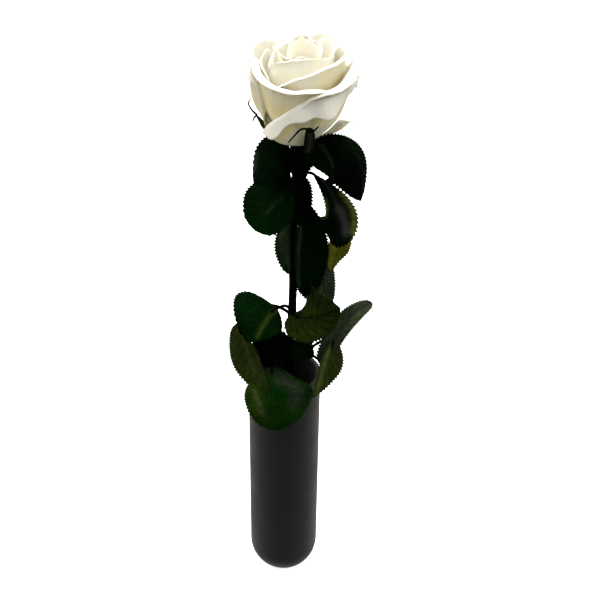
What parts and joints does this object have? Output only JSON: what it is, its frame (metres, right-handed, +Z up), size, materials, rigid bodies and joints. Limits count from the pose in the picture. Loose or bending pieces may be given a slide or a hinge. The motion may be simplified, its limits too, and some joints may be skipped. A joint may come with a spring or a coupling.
{
  "type": "rose in a bud vase",
  "caption": "A preserved white rose with its leafy stem, standing in a slim round-bottomed ceramic bud vase.",
  "frame": {"origin": "centre of the vase's flat foot", "axes": "+Z up along the vase, -Y towards the front of the rose"},
  "size_m": [0.0966, 0.0712, 0.422],
  "materials": {
    "vase_ceramic": "matte near-black glaze with a broad soft sheen",
    "leaf_green": "preserved leaf, dark green, waxy satin above and paler below",
    "petal_white": "preserved petal, ivory white, matte and finely veined"
  },
  "bodies": {
    "root": {"vase": "vase_ceramic", "leafy_stem": "leaf_green", "bloom": "petal_white"}
  },
  "joints": []
}
